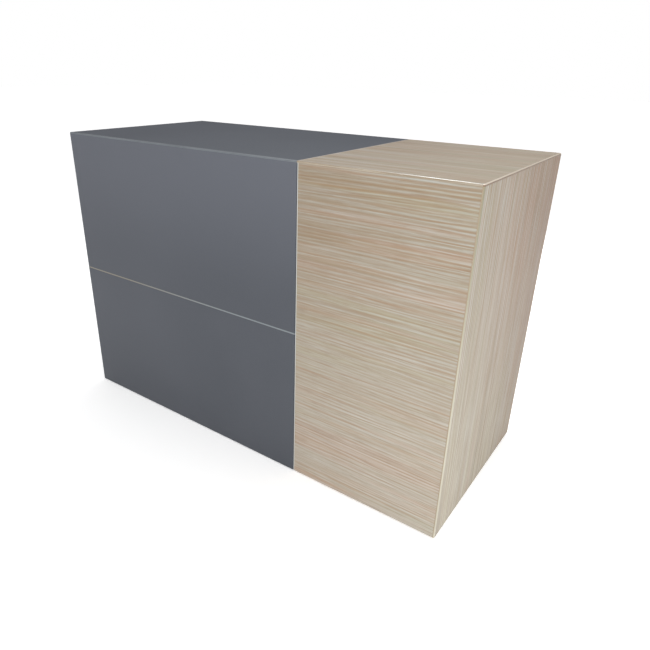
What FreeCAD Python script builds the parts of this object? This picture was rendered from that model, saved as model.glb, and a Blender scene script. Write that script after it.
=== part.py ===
import FreeCAD, Part
import os

# Shop counter: a grey box and a wood box, bolted side by side.
# Millimetres. X runs along the customer front, Y towards the staff side, Z up.
# The origin is on the floor, in the middle of the footprint.

# Overall sizes
grey_width = 1000.0
wood_width = 500.0
counter_depth = 650.0
counter_height = 1000.0

# Boards
board = 18.0
drawer_board = 12.0
drawer_bottom_board = 5.0
plinth_height = 60.0
plinth_setback = 50.0
staff_recess = 35.0
shelf_recess = 20.0
shelf_gap = 1.0
shelf_behind_door = 12.0

# Corner strips and the strip between the two grey fronts
trim_size = 5.0
trim_radius = 4.0
front_strip_middle = 500.0
front_strip_height = 5.0
front_strip_depth = 12.0
front_strip_recess = 0.6

# Floor glides
glide_radius = 7.0
glide_height = 4.0
glide_nail_radius = 1.2
glide_nail_length = 15.0
glide_from_edge = 60.0

# Biscuits, dowels, cam fittings and the bolts between the boxes
biscuit_length = 50.0
biscuit_width = 16.0
biscuit_thickness = 4.0
biscuit_seat = 12.0
biscuit_fit = 0.1
biscuit_from_end = 110.0
dowel_radius = 4.0
small_dowel_radius = 3.0
dowel_length = 30.0
small_dowel_length = 22.0
dowel_in_face = 10.0
small_dowel_in_face = 8.0
dowel_fit = 0.1
dowel_end_room = 0.5
dowel_from_edge = 90.0
cam_radius = 7.5
cam_depth = 12.5
cam_reach = 34.0
cam_fit = 0.1
cam_from_edge = 150.0
cam_bolt_radius = 3.0
cam_bolt_thread_radius = 2.5
cam_bolt_thread_length = 11.0
cam_bolt_room = 0.5
box_bolt_radius = 2.5
box_bolt_sleeve_radius = 4.0
box_bolt_head_radius = 7.0
box_bolt_head = 1.5
box_bolt_fit = 0.05
box_bolt_end_room = 5.0
box_bolt_from_edge = 120.0

# Shelves and their supports
grey_shelf_heights = (380.0, 680.0)
drawer_bay_shelf_height = 430.0
wood_shelf_height = 500.0
support_pin_radius = 2.5
support_pin_length = 9.0
support_pin_fit = 0.05
support_length = 8.0
support_width = 10.0
support_height = 6.0
support_from_edge = 50.0
support_hole_pitch = 32.0
support_holes_each_way = 2
support_hole_extra = 1.0

# Drawer
drawer_bay_width = 446.0
drawer_rail_height = 40.0
drawer_face_height = 150.0
front_gap = 3.0
drawer_box_depth = 400.0
drawer_side_height = 100.0
drawer_side_above_face_bottom = 14.0
drawer_groove_depth = 5.0
drawer_groove_height = 8.0
drawer_groove_fit = 0.15

# Roller runners, as offsets from the bay wall
runner_gap = 12.5
runner_sheet = 1.2
runner_flange_room = 0.9
runner_lip = 8.0
runner_under_lip = 10.0
runner_below_drawer = 3.0
runner_lip_room = 0.5
runner_front_cut = 34.0
roller_radius = 8.0
roller_width = 6.0
roller_play = 0.3
roller_bore_fit = 0.05
roller_wall_room = 0.8
roller_head_room = 0.2
roller_from_end = 14.0
axle_radius = 2.0
axle_head_radius = 3.5
axle_head = 0.7
runner_screw_radius = 1.75
runner_screw_head_radius = 3.2
runner_screw_head = 1.4
runner_screw_length = 12.0
drawer_screw_tip_room = 1.0
runner_screw_from_ends = (70.0, 200.0, 330.0)
screw_fit = 0.05

# Cupboard door and its butt hinges
hinge_leaf = 1.5
hinge_leaf_room = 0.4
hinge_leaf_width = 22.0
hinge_height = 60.0
hinge_knuckles = 3
hinge_knuckle_gap = 0.3
hinge_knuckle_radius = 3.5
hinge_knuckle_room = 0.5
hinge_pin_radius = 2.0
hinge_pin_fit = 0.05
hinge_pin_cap_radius = 3.0
hinge_pin_cap = 1.5
hinge_from_end = 110.0
hinge_screw_radius = 1.75
hinge_screw_head_radius = 3.2
hinge_screw_length = 14.0
hinge_screw_spacing = 40.0
hinge_screw_from_barrel = 13.0

# Bar handles
handle_spacing = 96.0
handle_radius = 5.0
handle_post_radius = 4.2
handle_reach = 28.0
handle_overhang = 10.0
handle_screw_radius = 2.0
handle_screw_head_radius = 4.0
handle_screw_head = 2.5
handle_screw_in_post = 12.0
handle_hole_fit = 0.25
drawer_handle_above_face_bottom = 50.0
door_handle_above_lock = 128.0

# Cam locks and strikes
lock_barrel_radius = 9.0
lock_barrel_past_front = 5.0
lock_hole_fit = 0.2
lock_flange_radius = 11.0
lock_flange = 2.0
lock_nut_radius = 13.0
lock_nut = 4.0
lock_nut_fit = 0.05
lock_plug_radius = 6.0
lock_plug_fit = 0.05
lock_plug_recess = 0.5
lock_slot_width = 1.6
lock_slot_height = 7.0
lock_slot_depth = 8.0
lock_tail = 7.0
lock_tail_length = 4.0
lock_cam = 2.0
lock_cam_room = 0.2
lock_cam_width = 12.0
lock_cam_hub_radius = 8.0
lock_cam_reach = 32.0
drawer_lock_below_edge = 22.0
lock_cam_tip_room = 3.0
door_lock_height = 600.0
strike_sheet = 2.0
strike_width = 40.0
drawer_strike_height = 28.0
door_strike_depth = 35.0
door_strike_lip = 14.0
strike_screw_radius = 1.75
strike_screw_length = 12.0
strike_screw_head_radius = 3.2
strike_screw_head = 1.4
strike_screw_spacing = 24.0

# Planes that the pieces share
counter_width = grey_width + wood_width
left = -counter_width / 2
right = counter_width / 2
seam = left + grey_width
front = -counter_depth / 2
rear = counter_depth / 2
front_inside = front + board
top_underside = counter_height - board
bottom_low = glide_height + plinth_height
bottom_high = bottom_low + board
grey_left_inside = left + board
grey_right_inside = seam - board
partition_right = grey_right_inside - drawer_bay_width
partition_left = partition_right - board
wood_left_inside = seam + board
wood_right_inside = right - board
face_outside = rear - staff_recess
face_inside = face_outside - board

solids = {}
holes = {}


def vec(x, y, z):
    return FreeCAD.Vector(x, y, z)


def box(x, y, z):
    """Block between pairs of planes."""
    return Part.makeBox(x[1] - x[0], y[1] - y[0], z[1] - z[0], vec(x[0], y[0], z[0]))


def rod(radius, start, direction, length):
    """Round bar from a start point along a direction."""
    return Part.makeCylinder(radius, length, start, direction)


def joined(pieces):
    """One solid from touching or overlapping shapes."""
    return pieces[0].fuse(pieces[1:]).removeSplitter()


def drill(name, tool):
    """Note a hole to be cut from a named piece."""
    holes.setdefault(name, []).append(tool)


def gather(name, solid):
    """Add one more solid to a named group of like pieces."""
    solids.setdefault(name, []).append(solid)


def mitred_board(normal, outside, inside, first, second, first_mitres, second_mitres):
    """Board with its outer face first x second; a side marked 1 slopes in at 45 degrees."""
    slope = abs(inside - outside)

    def ring(level, inset):
        a_low = first[0] + inset * first_mitres[0]
        a_high = first[1] - inset * first_mitres[1]
        b_low = second[0] + inset * second_mitres[0]
        b_high = second[1] - inset * second_mitres[1]
        corners = [(a_low, b_low), (a_high, b_low), (a_high, b_high), (a_low, b_high)]
        if normal == "x":
            return [vec(level, a, b) for a, b in corners]
        if normal == "y":
            return [vec(a, level, b) for a, b in corners]
        return [vec(a, b, level) for a, b in corners]

    outer = ring(outside, 0.0)
    inner = ring(inside, slope)
    loops = [outer, inner]
    for side in range(4):
        after = (side + 1) % 4
        loops.append([outer[side], outer[after], inner[after], inner[side]])
    faces = [Part.Face(Part.makePolygon(loop + [loop[0]])) for loop in loops]
    solid = Part.makeSolid(Part.makeShell(faces))
    if solid.Volume < 0:
        solid.reverse()
    return solid


def rounded_strips(blocks, edge_lines):
    """Corner strips as one ring, rounded on the lines given as fixed coordinates."""
    ring = joined(blocks)

    def on_line(edge):
        ends = [vertex.Point for vertex in edge.Vertexes]
        for line in edge_lines:
            if all(abs(getattr(p, axis) - at) < 1e-6 for p in ends for axis, at in line.items()):
                return True
        return False

    return ring.makeFillet(trim_radius, [edge for edge in ring.Edges if on_line(edge)])


# Shell of mitred boards
strip_low = front_strip_middle - front_strip_height / 2
strip_high = front_strip_middle + front_strip_height / 2
full_depth = (front, rear)
full_height = (glide_height, counter_height)
solids["grey_left_end_panel"] = mitred_board(
    "x", left, grey_left_inside, full_depth, full_height, (1, 0), (0, 1))
solids["grey_top_panel"] = mitred_board(
    "z", counter_height, top_underside, (left, seam), full_depth, (1, 0), (1, 0))
solids["grey_upper_front_panel"] = mitred_board(
    "y", front, front_inside, (left, seam), (strip_high, counter_height), (1, 0), (0, 1))
solids["grey_lower_front_panel"] = mitred_board(
    "y", front, front_inside, (left, seam), (glide_height, strip_low), (1, 0), (0, 0))
solids["wood_right_end_panel"] = mitred_board(
    "x", right, wood_right_inside, full_depth, full_height, (1, 0), (0, 1))
solids["wood_top_panel"] = mitred_board(
    "z", counter_height, top_underside, (seam, right), full_depth, (0, 1), (1, 0))
solids["wood_front_panel"] = mitred_board(
    "y", front, front_inside, (seam, right), full_height, (0, 1), (0, 1))

# Strip between the two grey fronts
strip_back = front + front_strip_recess + front_strip_depth
solids["grey_front_strip"] = box((grey_left_inside, seam), (front + front_strip_recess, strip_back),
                                 (strip_low, strip_high))
strip_corner_x = left + trim_size
strip_end = box((strip_corner_x, grey_left_inside), (front + front_strip_recess, front + trim_size),
                (strip_low, strip_high))
solids["grey_front_strip"] = joined([solids["grey_front_strip"], strip_end])
drill("grey_left_end_panel", box((left, grey_left_inside), (front, front + trim_size),
                                 (strip_low, strip_high)))

# Corner strips let into the outer corners
trim_top = (counter_height - trim_size, counter_height)
trim_front = (front, front + trim_size)
trim_behind = (front + trim_size, rear)
trim_below = (glide_height, counter_height - trim_size)
trim_left = (left, left + trim_size)
trim_right = (right - trim_size, right)
trim_seam = (seam, seam + trim_size)

grey_strips = [box((left, seam), trim_front, trim_top), box(trim_left, trim_behind, trim_top),
               box(trim_left, trim_front, trim_below)]
wood_strips = [box((seam, right), trim_front, trim_top), box(trim_right, trim_behind, trim_top),
               box(trim_right, trim_front, trim_below)]
seam_strip = box(trim_seam, trim_front, trim_below)
grey_ring = rounded_strips(grey_strips, [{"y": front, "z": counter_height}, {"x": left, "z": counter_height},
                                         {"x": left, "y": front}])
wood_ring = rounded_strips(wood_strips, [{"y": front, "z": counter_height}, {"x": right, "z": counter_height},
                                         {"x": right, "y": front}])
for block in grey_strips:
    gather("grey_corner_strips", grey_ring.common(block))
    for name in ("grey_left_end_panel", "grey_top_panel", "grey_upper_front_panel", "grey_lower_front_panel"):
        drill(name, block)
for block in wood_strips:
    gather("wood_corner_strips", wood_ring.common(block))
    for name in ("wood_right_end_panel", "wood_top_panel", "wood_front_panel"):
        drill(name, block)
gather("wood_corner_strips", rounded_strips([seam_strip, seam_strip], [{"x": seam, "y": front}]))
drill("wood_front_panel", seam_strip)

# Inner boards
inner_depth = (front_inside, rear)
post_height = (glide_height, top_underside)
plinth_depth = (rear - plinth_setback - board, rear - plinth_setback)
grey_span = (grey_left_inside, grey_right_inside)
wood_span = (wood_left_inside, wood_right_inside)
solids["grey_right_side_panel"] = box((grey_right_inside, seam), inner_depth, post_height)
solids["grey_centre_partition"] = box((partition_left, partition_right), inner_depth,
                                      (bottom_high, top_underside))
solids["grey_bottom_panel"] = box(grey_span, inner_depth, (bottom_low, bottom_high))
solids["grey_rear_plinth"] = box(grey_span, plinth_depth, (glide_height, bottom_low))
solids["wood_left_side_panel"] = box((seam, wood_left_inside), inner_depth, post_height)
solids["wood_bottom_panel"] = box(wood_span, inner_depth, (bottom_low, bottom_high))
solids["wood_rear_plinth"] = box(wood_span, plinth_depth, (glide_height, bottom_low))
rail_low = top_underside - drawer_rail_height
solids["drawer_top_rail"] = box((partition_right, grey_right_inside), (face_inside, face_outside),
                                (rail_low, top_underside))


def biscuit(names, centre, along, turn):
    """Flat oval key across a mitre, lying along the joint and square to the glued face."""
    def key(extra):
        sizes = {"x": (biscuit_length, biscuit_width, biscuit_thickness),
                 "y": (biscuit_width, biscuit_length, biscuit_thickness),
                 "z": (biscuit_width, biscuit_thickness, biscuit_length)}[along]
        dx, dy, dz = (size + 2 * extra for size in sizes)
        block = Part.makeBox(dx, dy, dz, centre - vec(dx / 2, dy / 2, dz / 2))
        axis = {"x": vec(1, 0, 0), "y": vec(0, 1, 0), "z": vec(0, 0, 1)}[along]
        block.rotate(centre, axis, turn)
        return block

    gather("dowels_and_biscuits", key(0.0))
    for name in names:
        drill(name, key(biscuit_fit))


def spread(low, high, margin, count):
    """Evenly spaced places between two ends, a margin in from each."""
    step = (high - low - 2 * margin) / (count - 1)
    return [low + margin + step * index for index in range(count)]


seat_top = counter_height - biscuit_seat
seat_front = front + biscuit_seat
seat_left = left + biscuit_seat
seat_right = right - biscuit_seat
for x in spread(left, seam, biscuit_from_end, 4):
    biscuit(("grey_top_panel", "grey_upper_front_panel"), vec(x, seat_front, seat_top), "x", 45)
for x in spread(seam, right, biscuit_from_end, 3):
    biscuit(("wood_top_panel", "wood_front_panel"), vec(x, seat_front, seat_top), "x", 45)
for y in spread(front, rear, biscuit_from_end, 3):
    biscuit(("grey_top_panel", "grey_left_end_panel"), vec(seat_left, y, seat_top), "y", -45)
    biscuit(("wood_top_panel", "wood_right_end_panel"), vec(seat_right, y, seat_top), "y", 45)
for z in spread(strip_high, counter_height, biscuit_from_end, 2):
    biscuit(("grey_upper_front_panel", "grey_left_end_panel"), vec(seat_left, seat_front, z), "z", -45)
for z in spread(glide_height, strip_low, biscuit_from_end, 2):
    biscuit(("grey_lower_front_panel", "grey_left_end_panel"), vec(seat_left, seat_front, z), "z", -45)
for z in spread(glide_height, counter_height, biscuit_from_end, 4):
    biscuit(("wood_front_panel", "wood_right_end_panel"), vec(seat_right, seat_front, z), "z", 45)


def dowel(group, face_board, edge_board, at, direction, radius, length, in_face):
    """Round wood pin from a board's face into a board's edge; direction points into the edge."""
    start = at - direction * in_face
    gather(group, rod(radius, start, direction, length))
    hole = rod(radius + dowel_fit, start - direction * dowel_end_room, direction,
               length + 2 * dowel_end_room)
    drill(face_board, hole)
    drill(edge_board, hole)


def carcass_dowel(face_board, edge_board, at, direction):
    dowel("dowels_and_biscuits", face_board, edge_board, at, direction, dowel_radius, dowel_length,
          dowel_in_face)


def cam_fitting(post, shelf, face_x, inwards, y):
    """Quick-fit bolt from an upright into a bottom board's edge, drawn tight by a cam from below."""
    middle = bottom_low + board / 2
    at = vec(face_x, y, middle)
    run = vec(inwards, 0, 0)
    centre = vec(face_x + inwards * cam_reach, y, bottom_low)
    thread = rod(cam_bolt_thread_radius, at - run * cam_bolt_thread_length, run, cam_bolt_thread_length)
    shank = rod(cam_bolt_radius, at, run, cam_reach)
    bore = rod(cam_bolt_radius + cam_bolt_room, at, run, cam_reach + cam_bolt_room)
    gather("cam_fittings", joined([thread, shank]))
    gather("cam_fittings", rod(cam_radius, centre, vec(0, 0, 1), cam_depth).cut(bore))
    thread_hole = cam_bolt_thread_length + dowel_end_room
    drill(post, rod(cam_bolt_thread_radius + cam_fit, at - run * thread_hole, run, thread_hole))
    drill(shelf, bore)
    drill(shelf, rod(cam_radius + cam_fit, centre, vec(0, 0, 1), cam_depth + cam_fit))


# Joints of the bottom boards with the uprights
bottom_middle = bottom_low + board / 2
partition_middle = partition_left + board / 2
grey_side_middle = seam - board / 2
wood_side_middle = seam + board / 2
up = vec(0, 0, 1)
down = vec(0, 0, -1)
back = vec(0, 1, 0)
bottom_joints = (("grey_left_end_panel", "grey_bottom_panel", grey_left_inside, 1),
                 ("grey_right_side_panel", "grey_bottom_panel", grey_right_inside, -1),
                 ("wood_left_side_panel", "wood_bottom_panel", wood_left_inside, 1),
                 ("wood_right_end_panel", "wood_bottom_panel", wood_right_inside, -1))
dowel_rows = (front + dowel_from_edge, rear - dowel_from_edge)
for post, bottom, x, inwards in bottom_joints:
    for y in (front + cam_from_edge, rear - cam_from_edge):
        cam_fitting(post, bottom, x, inwards, y)
    for y in dowel_rows:
        carcass_dowel(post, bottom, vec(x, y, bottom_middle), vec(inwards, 0, 0))

# Joints of the tops, fronts, plinths and drawer rail
for y in dowel_rows:
    carcass_dowel("grey_bottom_panel", "grey_centre_partition", vec(partition_middle, y, bottom_high), up)
    carcass_dowel("grey_top_panel", "grey_centre_partition", vec(partition_middle, y, top_underside), down)
    carcass_dowel("grey_top_panel", "grey_right_side_panel", vec(grey_side_middle, y, top_underside), down)
    carcass_dowel("wood_top_panel", "wood_left_side_panel", vec(wood_side_middle, y, top_underside), down)

lower_rows = (bottom_high + dowel_from_edge, strip_low - dowel_from_edge)
upper_rows = (strip_high + dowel_from_edge, counter_height - dowel_from_edge)
for front_name, rows in (("grey_lower_front_panel", lower_rows), ("grey_upper_front_panel", upper_rows)):
    for z in rows:
        carcass_dowel(front_name, "grey_right_side_panel", vec(grey_side_middle, front_inside, z), back)
        carcass_dowel(front_name, "grey_centre_partition", vec(partition_middle, front_inside, z), back)
for z in spread(glide_height, counter_height, dowel_from_edge, 3):
    carcass_dowel("wood_front_panel", "wood_left_side_panel", vec(wood_side_middle, front_inside, z), back)

plinth_middle = (plinth_depth[0] + plinth_depth[1]) / 2
for x in spread(grey_span[0], grey_span[1], dowel_from_edge, 3):
    carcass_dowel("grey_bottom_panel", "grey_rear_plinth", vec(x, plinth_middle, bottom_low), down)
for x in spread(wood_span[0], wood_span[1], dowel_from_edge, 2):
    carcass_dowel("wood_bottom_panel", "wood_rear_plinth", vec(x, plinth_middle, bottom_low), down)
rail_y = (face_inside + face_outside) / 2
rail_z = top_underside - drawer_rail_height / 2
rail_joints = (("grey_centre_partition", partition_right, 1),
               ("grey_right_side_panel", grey_right_inside, -1))
for upright, x, inwards in rail_joints:
    carcass_dowel(upright, "drawer_top_rail", vec(x, rail_y, rail_z), vec(inwards, 0, 0))

# Bolts and sleeves that hold the two boxes together
for y in (front + box_bolt_from_edge, rear - box_bolt_from_edge):
    for z in (bottom_high + box_bolt_from_edge, counter_height - box_bolt_from_edge):
        head_x = grey_right_inside
        sleeve_x = wood_left_inside
        across = vec(1, 0, 0)
        reach = 2 * board - box_bolt_end_room
        bolt_head = rod(box_bolt_head_radius, vec(head_x - box_bolt_head, y, z), across, box_bolt_head)
        bolt = rod(box_bolt_radius, vec(head_x, y, z), across, reach)
        gather("box_joining_bolts", joined([bolt_head, bolt]))
        sleeve_head = rod(box_bolt_head_radius, vec(sleeve_x, y, z), across, box_bolt_head)
        sleeve = rod(box_bolt_sleeve_radius, vec(sleeve_x - reach, y, z), across, reach)
        bolt_bore = rod(box_bolt_radius + box_bolt_fit, vec(head_x, y, z), across, reach + box_bolt_fit)
        gather("box_joining_bolts", joined([sleeve_head, sleeve]).cut(bolt_bore))
        bolt_hole = rod(box_bolt_sleeve_radius + box_bolt_fit, vec(head_x, y, z), across, 2 * board)
        drill("grey_right_side_panel", bolt_hole)
        drill("wood_left_side_panel", bolt_hole)

# Floor glides under the uprights
glide_uprights = {"grey_left_end_panel": left + board / 2, "grey_right_side_panel": seam - board / 2,
                  "wood_left_side_panel": seam + board / 2, "wood_right_end_panel": right - board / 2}
for name, x in glide_uprights.items():
    for y in (front + glide_from_edge, rear - glide_from_edge):
        pad = rod(glide_radius, vec(x, y, 0), up, glide_height)
        nail = rod(glide_nail_radius, vec(x, y, glide_height), up, glide_nail_length)
        gather("floor_glides", joined([pad, nail]))
        drill(name, rod(glide_nail_radius + screw_fit, vec(x, y, glide_height), up,
                        glide_nail_length + screw_fit))


def shelf(name, low_wall, high_wall, underside, rear_edge, walls):
    """Loose shelf on four supports, with spare support holes above and below."""
    solids[name] = box((low_wall + shelf_gap, high_wall - shelf_gap),
                       (front_inside + shelf_gap, rear_edge), (underside, underside + board))
    pin_z = underside - support_height / 2
    for y in (front_inside + support_from_edge, rear_edge - support_from_edge):
        for wall_name, wall_x, inwards in ((walls[0], low_wall, 1), (walls[1], high_wall, -1)):
            run = vec(inwards, 0, 0)
            seat_x = sorted((wall_x, wall_x + inwards * support_length))
            seat_y = (y - support_width / 2, y + support_width / 2)
            seat = box(seat_x, seat_y, (underside - support_height, underside))
            pin_start = vec(wall_x, y, pin_z) - run * support_pin_length
            pin = rod(support_pin_radius, pin_start, run, support_pin_length)
            gather("shelf_supports", joined([seat, pin]))
            depth = support_pin_length + support_hole_extra
            for place in range(-support_holes_each_way, support_holes_each_way + 1):
                at = vec(wall_x, y, pin_z + place * support_hole_pitch) - run * depth
                drill(wall_name, rod(support_pin_radius + support_pin_fit, at, run, depth))


for label, height in zip(("lower", "upper"), grey_shelf_heights):
    shelf("grey_" + label + "_shelf", grey_left_inside, partition_left, height, rear - shelf_recess,
          ("grey_left_end_panel", "grey_centre_partition"))
shelf("drawer_bay_shelf", partition_right, grey_right_inside, drawer_bay_shelf_height, rear - shelf_recess,
      ("grey_centre_partition", "grey_right_side_panel"))
shelf("wood_shelf", wood_left_inside, wood_right_inside, wood_shelf_height, face_inside - shelf_behind_door,
      ("wood_left_side_panel", "wood_right_end_panel"))

# Drawer box
face_high = rail_low - front_gap
face_low = face_high - drawer_face_height
box_low = face_low + drawer_side_above_face_bottom
box_high = box_low + drawer_side_height
box_left = partition_right + runner_gap
box_right = grey_right_inside - runner_gap
box_back = face_inside - drawer_box_depth
tray_low = box_low + drawer_groove_height
tray_high = tray_low + drawer_bottom_board
side_depth = (box_back, face_inside)
tray_width = (box_left + drawer_board - drawer_groove_depth,
              box_right - drawer_board + drawer_groove_depth)
groove = box((tray_width[0] - drawer_groove_fit, tray_width[1] + drawer_groove_fit), side_depth,
             (tray_low - drawer_groove_fit, tray_high + drawer_groove_fit))
solids["drawer_face"] = box((partition_right + front_gap, grey_right_inside - front_gap),
                            (face_inside, face_outside), (face_low, face_high))
solids["drawer_left_side"] = box((box_left, box_left + drawer_board), side_depth, (box_low, box_high))
solids["drawer_right_side"] = box((box_right - drawer_board, box_right), side_depth, (box_low, box_high))
solids["drawer_back"] = box((box_left + drawer_board, box_right - drawer_board),
                            (box_back, box_back + drawer_board), (tray_high, box_high))
solids["drawer_bottom"] = box(tray_width, side_depth, (tray_low, tray_high))
drill("drawer_left_side", groove)
drill("drawer_right_side", groove)

drawer_sides = {"drawer_left_side": (box_left, 1), "drawer_right_side": (box_right, -1)}
for name, (outer_x, inwards) in drawer_sides.items():
    side_middle = outer_x + inwards * drawer_board / 2
    side_inside = outer_x + inwards * drawer_board
    for z in spread(tray_high, box_high, drawer_board, 2):
        dowel("drawer_dowels", "drawer_face", name, vec(side_middle, face_inside, z), vec(0, -1, 0),
              small_dowel_radius, small_dowel_length, small_dowel_in_face)
        dowel("drawer_dowels", name, "drawer_back", vec(side_inside, box_back + drawer_board / 2, z),
              vec(inwards, 0, 0), small_dowel_radius, small_dowel_length, small_dowel_in_face)

# Roller runners, made for the left wall and mirrored for the right
wall = partition_right
web_face = wall + runner_sheet
rail_reach = wall + runner_gap - runner_sheet - runner_flange_room
track_low = box_low - runner_below_drawer
track_high = track_low + runner_sheet
roof_low = track_high + 2 * roller_radius + 2 * roller_play
roof_high = roof_low + runner_sheet
lip_low = roof_high + runner_lip_room
lip_high = lip_low + runner_sheet
drawer_web = box_left - runner_sheet
drawer_roller_y = box_back + roller_from_end
drawer_roller_z = track_high + roller_play + roller_radius
cabinet_roller_y = face_inside - roller_from_end
cabinet_roller_z = lip_low - roller_head_room - roller_radius
cabinet_roller_x = web_face + roller_wall_room
drawer_roller_x = drawer_web - roller_wall_room - roller_width
roller_gap_y = (face_inside - runner_front_cut, face_inside)

cabinet_rail = joined([box((wall, web_face), side_depth, (track_low, roof_high)),
                       box((wall, rail_reach), side_depth, (track_low, track_high)),
                       box((wall, rail_reach), (box_back, roller_gap_y[0]), (roof_low, roof_high))])
drawer_rail = joined([box((drawer_web, box_left), side_depth, (box_low - runner_sheet, lip_high)),
                      box((drawer_web, box_left + runner_under_lip), side_depth,
                          (box_low - runner_sheet, box_low)),
                      box((drawer_web - runner_lip, box_left), side_depth, (lip_low, lip_high))])


def roller(x, y, z):
    """Nylon wheel with a running bore, lying along X."""
    wheel = rod(roller_radius, vec(x, y, z), vec(1, 0, 0), roller_width)
    return wheel.cut(rod(axle_radius + roller_bore_fit, vec(x, y, z), vec(1, 0, 0), roller_width))


def axle(root_x, head_x, y, z):
    """Rivet from a rail's web through the roller, with a flat head outside it."""
    outwards = 1 if head_x > root_x else -1
    run = vec(outwards, 0, 0)
    shank = rod(axle_radius, vec(root_x, y, z), run, abs(head_x - root_x))
    return joined([shank, rod(axle_head_radius, vec(head_x, y, z), run, axle_head)])


def runner_screw(x, y, z, into, length):
    """Flat-headed screw through a rail; x is the rail's face and into points to the wood."""
    run = vec(into, 0, 0)
    head = rod(runner_screw_head_radius, vec(x, y, z) - run * runner_screw_head, run, runner_screw_head)
    shank = rod(runner_screw_radius, vec(x, y, z), run, length)
    hole = rod(runner_screw_radius + screw_fit, vec(x, y, z), run, length + screw_fit)
    return joined([head, shank]), hole


cabinet_head_x = cabinet_roller_x + roller_width + roller_head_room
cabinet_axle = axle(wall, cabinet_head_x, cabinet_roller_y, cabinet_roller_z)
drawer_axle = axle(box_left, drawer_roller_x - roller_head_room, drawer_roller_y, drawer_roller_z)
cabinet_rail = cabinet_rail.cut(cabinet_axle)
drawer_rail = drawer_rail.cut(drawer_axle)
cabinet_roller = roller(cabinet_roller_x, cabinet_roller_y, cabinet_roller_z)
drawer_roller = roller(drawer_roller_x, drawer_roller_y, drawer_roller_z)

bay_middle = vec((partition_right + grey_right_inside) / 2, 0, 0)


def mirrored(shape):
    return shape.mirror(bay_middle, vec(1, 0, 0))


drawer_screw_length = runner_sheet + drawer_board - drawer_groove_depth - drawer_screw_tip_room
cabinet_screw_holes = []
drawer_screw_holes = []
for reach in runner_screw_from_ends:
    y = box_back + reach
    screw, hole = runner_screw(web_face, y, drawer_roller_z, -1, runner_screw_length)
    gather("carcass_screws", screw)
    gather("carcass_screws", mirrored(screw))
    cabinet_screw_holes.append(hole)
    drill("grey_centre_partition", hole)
    drill("grey_right_side_panel", mirrored(hole))
    screw, hole = runner_screw(drawer_web, y, drawer_roller_z, 1, drawer_screw_length)
    gather("drawer_screws", screw)
    gather("drawer_screws", mirrored(screw))
    drawer_screw_holes.append(hole)
    drill("drawer_left_side", hole)
    drill("drawer_right_side", mirrored(hole))
cabinet_rail = cabinet_rail.cut(cabinet_screw_holes)
drawer_rail = drawer_rail.cut(drawer_screw_holes)
for name, shape in (("cabinet_roller", cabinet_roller), ("drawer_roller", drawer_roller)):
    solids[name + "_left"] = shape
    solids[name + "_right"] = mirrored(shape)
solids["runner_cabinet_rails"] = [cabinet_rail, mirrored(cabinet_rail)]
solids["runner_drawer_rails"] = [drawer_rail, mirrored(drawer_rail)]
solids["runner_cabinet_axles"] = [cabinet_axle, mirrored(cabinet_axle)]
solids["runner_drawer_axles"] = [drawer_axle, mirrored(drawer_axle)]

# Cupboard door
hinge_gap = 2 * hinge_leaf + hinge_leaf_room
door_left = wood_left_inside + front_gap
door_right = wood_right_inside - hinge_gap
door_low = bottom_high + front_gap
door_high = top_underside - front_gap
solids["wood_door"] = box((door_left, door_right), (face_inside, face_outside), (door_low, door_high))

# Butt hinges: outer knuckles on the end panel's leaf, middle knuckle on the door's leaf
axis_x = wood_right_inside - hinge_knuckle_radius - hinge_knuckle_gap
axis_y = face_outside + hinge_knuckle_radius + hinge_knuckle_room
knuckle_pitch = hinge_height / hinge_knuckles


def countersunk_screw(at, into):
    """Wood screw with its head flush in a hinge leaf, and the hole that takes it."""
    cone = Part.makeCone(hinge_screw_head_radius, hinge_screw_radius, hinge_leaf, at, into)
    shank = rod(hinge_screw_radius, at, into, hinge_screw_length)
    wide = Part.makeCone(hinge_screw_head_radius + screw_fit, hinge_screw_radius + screw_fit, hinge_leaf,
                         at, into)
    deep = rod(hinge_screw_radius + screw_fit, at, into, hinge_screw_length + screw_fit)
    return joined([cone, shank]), joined([wide, deep])


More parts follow.
